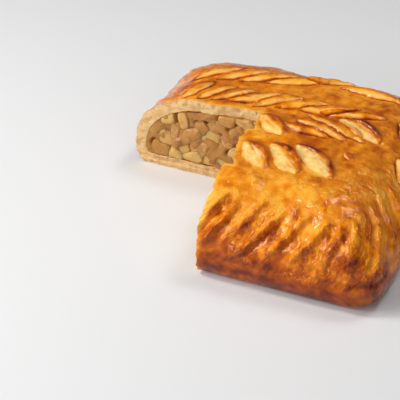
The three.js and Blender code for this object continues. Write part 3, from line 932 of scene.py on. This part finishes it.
def finish_cut_dough(mesh):
    """The cuts made new points with no values: those of the skin take their nearest neighbour's, and
    those of the crumb store how close they are to the skin."""
    points = read_points(mesh)
    skin = read_attribute(mesh, "skin")
    shares = [read_attribute(mesh, name) for name in SKIN_SHARES]
    known = np.flatnonzero(skin > 0.5)
    tree = KDTree(len(known))
    for index in known:
        tree.insert(points[index], index)
    tree.balance()
    for index in np.flatnonzero(points_of_slot(mesh, 0) & (skin < 0.5)):
        nearest = tree.find(points[index])[1]
        for values in shares:
            values[index] = values[nearest]
    rim = np.zeros(len(points))
    for index in np.flatnonzero(points_of_slot(mesh, 1)):
        rim[index] = math.exp(-tree.find(points[index])[2] / RIM_DEPTH)
    for name, values in zip(SKIN_SHARES, shares):
        write_attribute(mesh, name, values)
    write_attribute(mesh, "rim", rim)


def brown_underside(mesh):
    """Gives the flat underside the material of its own."""
    slots = polygon_slots(mesh)
    normals = read_values(mesh.polygons, "normal", width=3)
    flat = (normals[:, 2] < -0.99) & (face_centres(mesh)[:, 2] < UNDERSIDE_REACH)
    slots[flat] = 2
    mesh.polygons.foreach_set("material_index", slots)


class PIE_OT_crust(bpy.types.Operator):
    """Build the dough: slashed lid, folded sides, base and the cut through them"""

    bl_idname = "pie.crust"
    bl_label = "Crust"

    def execute(self, context):
        glaze, crumb, underside = egg_washed_dough(), dough_crumb(), browned_underside()
        piece = skin_piece()
        room = room_piece("room", 0)
        cutter = notch_cutter("notch", DOUGH_CUT_CELL, dough_end)
        piece.data.materials.append(glaze)
        room.data.materials.append(crumb)
        cutter.data.materials.append(crumb)
        cut_with(piece, room)
        cut_with(piece, cutter)
        piece.data.materials.append(underside)
        finish_cut_dough(piece.data)
        brown_underside(piece.data)
        smooth_by_angle(piece, DOUGH_SMOOTH_ANGLE)
        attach(piece, "root")
        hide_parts("crust")
        return {"FINISHED"}


class PIE_OT_jelly(bpy.types.Operator):
    """Build the set juice that fills the pie between the apple pieces"""

    bl_idname = "pie.jelly"
    bl_label = "Jelly"

    def execute(self, context):
        piece = room_piece("apple_jelly", -JELLY_OVERLAP)
        points = read_points(piece.data)
        hollow = smoothstep(lattice_noise(points, HOLLOW_SIZE, 51), -0.1, 0.6)
        points[:, 2] -= HOLLOW_DEPTH * hollow * smoothstep(points[:, 2], 40 * MM, 50 * MM)
        write_points(piece.data, points)
        piece.data.materials.append(set_jelly())
        cut_with(piece, notch_cutter("notch", JELLY_CUT_CELL, jelly_end))
        smooth_by_angle(piece, FILLING_SMOOTH_ANGLE)
        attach(piece, "root")
        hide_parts("filling")
        return {"FINISHED"}


def apple_die(sizes):
    """One apple piece: a cube with rounded edges, in the middle of the scene."""
    deselect_all()
    bpy.ops.mesh.primitive_cube_add(size=1)
    die = bpy.context.object
    die.name = die.data.name = "apple_dice"
    bpy.ops.object.mode_set(mode="EDIT")
    bpy.ops.mesh.subdivide(number_cuts=DIE_CUTS)
    bpy.ops.object.mode_set(mode="OBJECT")
    points = read_points(die.data)
    power = (np.abs(points) ** DIE_SQUARENESS).sum(axis=1) ** (1 / DIE_SQUARENESS)
    largest = np.abs(points).max(axis=1)
    rounded = points * (largest / power)[:, None]
    write_points(die.data, rounded * (sizes.dice_length, sizes.dice_width, sizes.dice_height))
    return die


def turned(points, angles):
    """Points turned about X, Y and Z."""
    for axis, angle in enumerate(angles):
        a, b = (axis + 1) % 3, (axis + 2) % 3
        cos, sin = math.cos(angle), math.sin(angle)
        along, across = points[:, a], points[:, b]
        points = points.copy()
        points[:, a] = along * cos - across * sin
        points[:, b] = along * sin + across * cos
    return points


def dice_places(random):
    """Middles of the apple pieces behind both cut faces, in rows that are shifted by half a piece."""
    sizes, _ = scene_sizes()
    places = []
    for row in range(DICE_ROWS):
        level = sizes.base + DICE_FLOOR + row * DICE_ROW_PITCH
        for step in range(DICE_PER_ROW):
            run = (step + (row % 2) / 2) * DICE_PITCH + DICE_SHIFT
            for on_side in (True, False):
                along = run + random.uniform(-2, 2) * MM
                depth = random.uniform(1.5, 4.5) * MM
                height = level + random.uniform(-1.3, 1.3) * MM
                if on_side:
                    places.append((sizes.side_face + depth, sizes.back_face + 6 * MM - along, height))
                else:
                    places.append((sizes.side_face - along, sizes.back_face + depth, height))
    places = np.array(places)
    return places[room_form(DICE_ROOM_GAP).holds(places)]


def held_in_room(points, middle, form, proud):
    """Apple pieces end flat where the knife went, and where the dough's inside is they are pressed in."""
    sizes, _ = scene_sizes()
    share = np.ones(len(points))
    for _ in range(PRESS_STEPS):
        trial = middle + (points - middle) * share[:, None]
        share = np.where(form.holds(trial), share, share * PRESS_SHARE)
    points = middle + (points - middle) * share[:, None]
    over_x = sizes.side_face - proud - points[:, 0]
    over_y = sizes.back_face - proud - points[:, 1]
    out = (over_x > 0) & (over_y > 0)
    to_x, to_y = out & (over_x < over_y), out & (over_x >= over_y)
    points[to_x, 0] += over_x[to_x] - KNIFE_CROWN * np.tanh(over_x[to_x] / KNIFE_REACH)
    points[to_y, 1] += over_y[to_y] - KNIFE_CROWN * np.tanh(over_y[to_y] / KNIFE_REACH)
    return points


def cut_apple_piece(die, place, form, random):
    """Copies the die to a place, with a size, turn and tone of its own."""
    sizes = bpy.context.scene.pie_apples
    template = read_points(die.data)
    select_only(die)
    bpy.ops.object.duplicate()
    copy = bpy.context.object
    points = template * random.uniform(0.55, 1.25, 3)
    points = points * (1 + 0.2 * rough_noise(template + place, 6 * MM, 81, 2)[:, None])
    angles = random.uniform(-0.9, 0.9), random.uniform(-0.9, 0.9), random.uniform(0, math.pi)
    proud = random.uniform(-1.5, 0.5) * sizes.proud
    write_points(copy.data, held_in_room(turned(points, angles) + place, place, form, proud))
    write_attribute(copy.data, "tone", np.full(len(points), random.uniform(0, 0.75)))
    return copy


class PIE_OT_apples(bpy.types.Operator):
    """Build the apple pieces that the two cut faces show"""

    bl_idname = "pie.apples"
    bl_label = "Apple pieces"

    def execute(self, context):
        random = np.random.default_rng(DICE_SEED)
        form = room_form(CLEARANCE)
        die = apple_die(context.scene.pie_apples)
        dice = [cut_apple_piece(die, place, form, random) for place in dice_places(random)]
        bpy.data.objects.remove(die)
        deselect_all()
        for copy in dice:
            copy.select_set(True)
        bpy.context.view_layer.objects.active = dice[0]
        bpy.ops.object.join()
        piece = context.object
        piece.name = piece.data.name = "apple_dice"
        piece.data.materials.append(cooked_apple())
        smooth_by_angle(piece, FILLING_SMOOTH_ANGLE)
        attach(piece, "root")
        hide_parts("filling")
        return {"FINISHED"}


def new_material(name):
    """An empty node material and its tree."""
    material = bpy.data.materials.new(name)
    material.use_nodes = True
    material.node_tree.nodes.clear()
    return material, material.node_tree


def add_node(tree, kind, inputs=None, stops=(), **settings):
    """Adds a node with its settings. An input is a value, or the socket that feeds it."""
    node = tree.nodes.new(kind)
    for name, value in settings.items():
        setattr(node, name, value)
    for name, value in (inputs or {}).items():
        if isinstance(value, bpy.types.NodeSocket):
            tree.links.new(value, node.inputs[name])
        else:
            node.inputs[name].default_value = value
    for index, (place, shade) in enumerate(stops):
        elements = node.color_ramp.elements
        element = elements[index] if index < 2 else elements.new(place)
        element.position, element.color = place, shade
    return node


def finish_material(tree, inputs, relief=None):
    """Adds the surface and the output. Fine relief is given as its height, strength and distance."""
    if relief:
        bump = add_node(tree, "ShaderNodeBump", dict(zip(("Height", "Strength", "Distance"), relief)))
        inputs = {**inputs, "Normal": bump.outputs[0]}
    shader = add_node(tree, "ShaderNodeBsdfPrincipled", inputs)
    add_node(tree, "ShaderNodeOutputMaterial", {"Surface": shader.outputs[0]})


def blistered_skin(tree, place, side, wrinkled):
    """Height of the fine blisters, drawn out along the sides, and how far each point is on a crest, where
    the glaze gets a painted highlight.
    """
    drawn = add_node(tree, "ShaderNodeAttribute", attribute_name="drawn").outputs["Vector"]
    on_lid, on_side = (
        add_node(
            tree,
            "ShaderNodeTexNoise",
            {"Vector": vector, "Scale": 1 / BLISTER_SIZE, "Detail": 3, "Roughness": 0.6, "Distortion": 0.6},
        ).outputs["Fac"]
        for vector in (place, drawn)
    )
    blister = add_node(tree, "ShaderNodeMix", {0: side, 2: on_lid, 3: on_side}, data_type="FLOAT")
    centred = add_node(tree, "ShaderNodeMath", {0: blister.outputs[0], 1: 0.5}, operation="SUBTRACT")
    creased = add_node(tree, "ShaderNodeMath", {0: centred.outputs[0]}, operation="ABSOLUTE")
    crests = add_node(
        tree,
        "ShaderNodeMapRange",
        {"Value": creased.outputs[0], "From Max": 0.07, "To Min": 1.0, "To Max": 0.0},
        interpolation_type="SMOOTHSTEP",
    ).outputs[0]
    strength = add_node(
        tree, "ShaderNodeMapRange", {"Value": wrinkled, "To Min": 0.12, "To Max": 1.0}
    ).outputs[0]
    rough = add_node(
        tree, "ShaderNodeMath", {0: blister.outputs[0], 1: 1.8, 2: crests}, operation="MULTIPLY_ADD"
    )
    height = add_node(tree, "ShaderNodeMath", {0: rough.outputs[0], 1: strength}, operation="MULTIPLY")
    on_crest = add_node(tree, "ShaderNodeMath", {0: crests, 1: strength}, operation="MULTIPLY")
    return height.outputs[0], on_crest.outputs[0]


def glaze_colour(tree, baked, mottle, on_crest):
    """Egg wash from gold to chestnut, darker where it pooled, and lighter on the fine crests as a painted
    highlight.
    """
    shades = bpy.context.scene.pie_colours
    mottled = add_node(tree, "ShaderNodeMath", {0: mottle, 1: 0.7, 2: baked}, operation="MULTIPLY_ADD")
    # Painted highlight: the fine crests are made lighter
    highlighted = add_node(
        tree, "ShaderNodeMath", {0: on_crest, 1: -0.2, 2: mottled.outputs[0]}, operation="MULTIPLY_ADD"
    )
    centred = add_node(tree, "ShaderNodeMath", {0: highlighted.outputs[0], 1: 0.33}, operation="SUBTRACT")
    glaze = add_node(
        tree,
        "ShaderNodeValToRGB",
        {"Fac": centred.outputs[0]},
        stops=(
            (0.04, shades.gold),
            (0.95, shades.chestnut),
            (0.32, shades.amber),
            (0.62, shades.copper),
        ),
    )
    return glaze.outputs["Color"]


def bare_dough_colour(tree, place):
    """Dough that the opened slashes show, uneven from cream to gold."""
    shades = bpy.context.scene.pie_colours
    crumbly = add_node(
        tree,
        "ShaderNodeTexNoise",
        {"Vector": place, "Scale": 1 / OPENED_SIZE, "Detail": 4, "Roughness": 0.65},
    )
    golden = add_node(
        tree, "ShaderNodeMapRange", {"Value": crumbly.outputs["Fac"], "From Min": 0.35, "From Max": 0.7}
    )
    bare = add_node(
        tree,
        "ShaderNodeMix",
        {0: golden.outputs[0], 6: shades.slash_cream, 7: shades.slash_gold},
        data_type="RGBA",
    )
    return bare.outputs[2]


def egg_washed_dough():
    """Yeast dough brushed with egg and baked: a glossy skin from gold to chestnut, mottled where the
    wash pooled or blistered, and matt pale dough where the slashes opened."""
    material, tree = new_material("egg_washed_dough")
    place = add_node(tree, "ShaderNodeTexCoord").outputs["Object"]
    baked, pale, wrinkled, side = (
        add_node(tree, "ShaderNodeAttribute", attribute_name=name).outputs["Fac"]
        for name in ("baked", "pale", "wrinkled", "side")
    )
    mottle = add_node(
        tree,
        "ShaderNodeTexNoise",
        {"Vector": place, "Scale": 1 / MOTTLE_SIZE, "Detail": 5, "Roughness": 0.6},
    ).outputs["Fac"]
    height, on_crest = blistered_skin(tree, place, side, wrinkled)
    glaze, bare = glaze_colour(tree, baked, mottle, on_crest), bare_dough_colour(tree, place)
    colour = add_node(tree, "ShaderNodeMix", {0: pale, 6: glaze, 7: bare}, data_type="RGBA")
    sheen = add_node(
        tree,
        "ShaderNodeMapRange",
        {"Value": mottle, "From Min": 0.3, "From Max": 0.7, "To Min": 0.1, "To Max": 0.2},
    )
    roughness = add_node(
        tree, "ShaderNodeMix", {0: pale, 2: sheen.outputs[0], 3: BARE_ROUGHNESS}, data_type="FLOAT"
    )
    finish_material(
        tree,
        {
            "Base Color": colour.outputs[2],
            "Roughness": roughness.outputs[0],
            "IOR": 1.5,
            "Specular IOR Level": 0.7,
            "Specular Tint": bpy.context.scene.pie_colours.glint,
        },
        relief=(height, 1.0, 0.32 * MM),
    )
    return material


def dough_crumb():
    """Cut yeast dough: cream, soft and matt, with a thin brown line under the baked skin."""
    shades = bpy.context.scene.pie_colours
    material, tree = new_material("dough_crumb")
    place = add_node(tree, "ShaderNodeTexCoord").outputs["Object"]
    rim = add_node(tree, "ShaderNodeAttribute", attribute_name="rim").outputs["Fac"]
    grain = add_node(
        tree, "ShaderNodeTexNoise", {"Vector": place, "Scale": 1 / CRUMB_SIZE, "Detail": 5, "Roughness": 0.6}
    )
    moist = add_node(
        tree, "ShaderNodeMapRange", {"Value": grain.outputs["Fac"], "From Min": 0.45, "From Max": 0.95}
    )
    cream = add_node(
        tree,
        "ShaderNodeMix",
        {0: moist.outputs[0], 6: shades.crumb, 7: shades.crumb_brown},
        data_type="RGBA",
    )
    edge = add_node(tree, "ShaderNodeMapRange", {"Value": rim, "From Min": 0.35, "From Max": 0.9})
    shade = add_node(
        tree,
        "ShaderNodeMix",
        {0: edge.outputs[0], 6: cream.outputs[2], 7: shades.copper},
        data_type="RGBA",
    )
    finish_material(
        tree,
        {
            "Base Color": shade.outputs[2],
            "Roughness": 0.68,
            "Subsurface Weight": 0.25,
            "Subsurface Radius": (1.0, 0.6, 0.3),
            "Subsurface Scale": 1.5 * MM,
        },
        relief=(grain.outputs["Fac"], 0.5, 0.6 * MM),
    )
    return material


def browned_underside():
    """The dough's underside, browned and dry where it lay in the baking tin."""
    shades = bpy.context.scene.pie_colours
    material, tree = new_material("browned_underside")
    place = add_node(tree, "ShaderNodeTexCoord").outputs["Object"]
    patch = add_node(
        tree,
        "ShaderNodeTexNoise",
        {"Vector": place, "Scale": 1 / TIN_MARK_SIZE, "Detail": 6, "Roughness": 0.6},
    )
    shade = add_node(
        tree,
        "ShaderNodeMix",
        {0: patch.outputs["Fac"], 6: shades.copper, 7: shades.chestnut},
        data_type="RGBA",
    )
    finish_material(
        tree,
        {"Base Color": shade.outputs[2], "Roughness": 0.6},
        relief=(patch.outputs["Fac"], 0.4, 0.5 * MM),
    )
    return material


def set_jelly():
    """Apple juice and sugar, cooked and set: amber, wet and a little cloudy."""
    shades = bpy.context.scene.pie_colours
    material, tree = new_material("set_apple_jelly")
    place = add_node(tree, "ShaderNodeTexCoord").outputs["Object"]
    cloud = add_node(
        tree, "ShaderNodeTexNoise", {"Vector": place, "Scale": 1 / CLOUD_SIZE, "Detail": 4, "Roughness": 0.6}
    )
    shade = add_node(
        tree,
        "ShaderNodeValToRGB",
        {"Fac": cloud.outputs["Fac"]},
        stops=((0.3, shades.crumb_brown), (0.75, shades.jelly_deep), (0.5, shades.jelly)),
    )
    finish_material(
        tree,
        {
            "Base Color": shade.outputs[0],
            "Roughness": 0.14,
            "IOR": 1.4,
            "Subsurface Weight": 0.3,
            "Subsurface Radius": (1.0, 0.5, 0.2),
            "Subsurface Scale": 3 * MM,
        },
        relief=(cloud.outputs["Fac"], 0.4, 0.8 * MM),
    )
    return material


def cooked_apple():
    """Stewed apple: pale, soft and translucent, some pieces greener and some stained by the juice."""
    shades = bpy.context.scene.pie_colours
    material, tree = new_material("cooked_apple")
    place = add_node(tree, "ShaderNodeTexCoord").outputs["Object"]
    tone = add_node(tree, "ShaderNodeAttribute", attribute_name="tone").outputs["Fac"]
    flesh = add_node(
        tree,
        "ShaderNodeTexNoise",
        {"Vector": place, "Scale": 1 / FLESH_SIZE, "Detail": 5, "Roughness": 0.6, "Distortion": 0.8},
    )
    stained = add_node(
        tree, "ShaderNodeMath", {0: flesh.outputs["Fac"], 1: 1.3, 2: tone}, operation="MULTIPLY_ADD"
    )
    centred = add_node(tree, "ShaderNodeMath", {0: stained.outputs[0], 1: 0.55}, operation="SUBTRACT")
    shade = add_node(
        tree,
        "ShaderNodeValToRGB",
        {"Fac": centred.outputs[0]},
        stops=(
            (0.1, shades.apple_green),
            (1.0, shades.jelly),
            (0.35, shades.apple),
            (0.75, shades.apple_stained),
        ),
    )
    finish_material(
        tree,
        {
            "Base Color": shade.outputs[0],
            "Roughness": 0.16,
            "IOR": 1.4,
            "Subsurface Weight": 0.6,
            "Subsurface Radius": (1.0, 0.7, 0.35),
            "Subsurface Scale": 5 * MM,
        },
        relief=(flesh.outputs["Fac"], 0.8, 1.0 * MM),
    )
    return material


def pale_floor():
    """A matt pale table top."""
    material, tree = new_material("pale_floor")
    finish_material(tree, {"Base Color": bpy.context.scene.pie_colours.floor, "Roughness": 0.7})
    return material


def aim(thing, target):
    """Turns a light or camera to look at a point."""
    thing.rotation_euler = (Vector(target) - thing.location).to_track_quat("-Z", "Y").to_euler()


def add_light(name, place, size, power):
    """A square area light that looks at the pie."""
    bpy.ops.object.light_add(type="AREA", location=place)
    light = bpy.context.object
    light.name = light.data.name = name
    light.data.size = size
    light.data.energy = power
    aim(light, LIGHT_TARGET)


class StageSettings(bpy.types.PropertyGroup):
    """Camera and light."""

    camera_place: bpy.props.FloatVectorProperty(
        name="Camera", description="Where the camera stands", default=(0.2665, -0.6994, 0.4801),
        subtype="TRANSLATION", unit="LENGTH",
    )
    camera_target: bpy.props.FloatVectorProperty(
        name="Target", description="Where the camera looks", default=(-0.0441, -0.0269, 0),
        subtype="TRANSLATION", unit="LENGTH",
    )
    lens: bpy.props.FloatProperty(
        name="Lens", description="Focal length in millimetres", default=113.65, min=10, max=500
    )
    sky: bpy.props.FloatProperty(
        name="Sky", description="Strength of the even light from all sides", default=0.13, min=0
    )
    key_power: bpy.props.FloatProperty(
        name="Key light", description="Power of the light above the left front", default=5.4, unit="POWER"
    )
    back_power: bpy.props.FloatProperty(
        name="Back light", description="Power of the light above the right back", default=3.6, unit="POWER"
    )
    fill_power: bpy.props.FloatProperty(
        name="Fill light", description="Power of the broad light at the right front", default=14,
        unit="POWER",
    )
    low_power: bpy.props.FloatProperty(
        name="Low light", description="Power of the small light low at the front left", default=2.2,
        unit="POWER",
    )
    left_power: bpy.props.FloatProperty(
        name="Left light", description="Power of the soft light at the left", default=9, unit="POWER"
    )


class PIE_OT_stage(bpy.types.Operator):
    """Set up the floor, the soft light and the camera"""

    bl_idname = "pie.stage"
    bl_label = "Stage"

    def execute(self, context):
        settings = context.scene.pie_stage
        deselect_all()
        bpy.ops.mesh.primitive_plane_add(size=FLOOR_SIZE)
        floor = context.object
        floor.name = floor.data.name = "floor"
        floor.data.materials.append(pale_floor())
        world = bpy.data.worlds.new("studio")
        world.use_nodes = True
        world.node_tree.nodes["Background"].inputs["Color"].default_value = (1, 1, 1, 1)
        world.node_tree.nodes["Background"].inputs["Strength"].default_value = settings.sky
        context.scene.world = world
        for name, place, size in LIGHTS:
            add_light(name + "_light", place, size, getattr(settings, name + "_power"))
        bpy.ops.object.camera_add(location=settings.camera_place)
        camera = context.object
        camera.name = camera.data.name = "camera"
        camera.data.lens = settings.lens
        aim(camera, settings.camera_target)
        context.scene.camera = camera
        context.scene.view_settings.view_transform = "Standard"
        return {"FINISHED"}


PIECE_OPERATORS = (PIE_OT_crust, PIE_OT_jelly, PIE_OT_apples, PIE_OT_stage)
SETTINGS = {
    "pie_sizes": PieSizes,
    "pie_dough": DoughSizes,
    "pie_apples": AppleSizes,
    "pie_colours": PieColours,
    "pie_stage": StageSettings,
}


class PIE_PT_panel(bpy.types.Panel):
    """Sizes, colours and building steps of the pie"""

    bl_idname = "PIE_PT_panel"
    bl_label = "Apple pie"
    bl_space_type = "VIEW_3D"
    bl_region_type = "UI"
    bl_category = "Apple pie"

    def draw(self, context):
        for group_name, group in SETTINGS.items():
            column = self.layout.column()
            for setting in group.__annotations__:
                column.prop(getattr(context.scene, group_name), setting)
        for operator in PIECE_OPERATORS:
            self.layout.operator(operator.bl_idname)


CLASSES = (*SETTINGS.values(), *PIECE_OPERATORS, PIE_PT_panel)


def register():
    for item in CLASSES:
        bpy.utils.register_class(item)
    for group_name, group in SETTINGS.items():
        setattr(bpy.types.Scene, group_name, bpy.props.PointerProperty(type=group))


def unregister():
    for group_name in SETTINGS:
        delattr(bpy.types.Scene, group_name)
    for item in reversed(CLASSES):
        bpy.utils.unregister_class(item)


def main():
    register()
    bpy.ops.pie.crust()
    bpy.ops.pie.jelly()
    bpy.ops.pie.apples()
    bpy.ops.pie.stage()


if __name__ == "__main__":
    main()
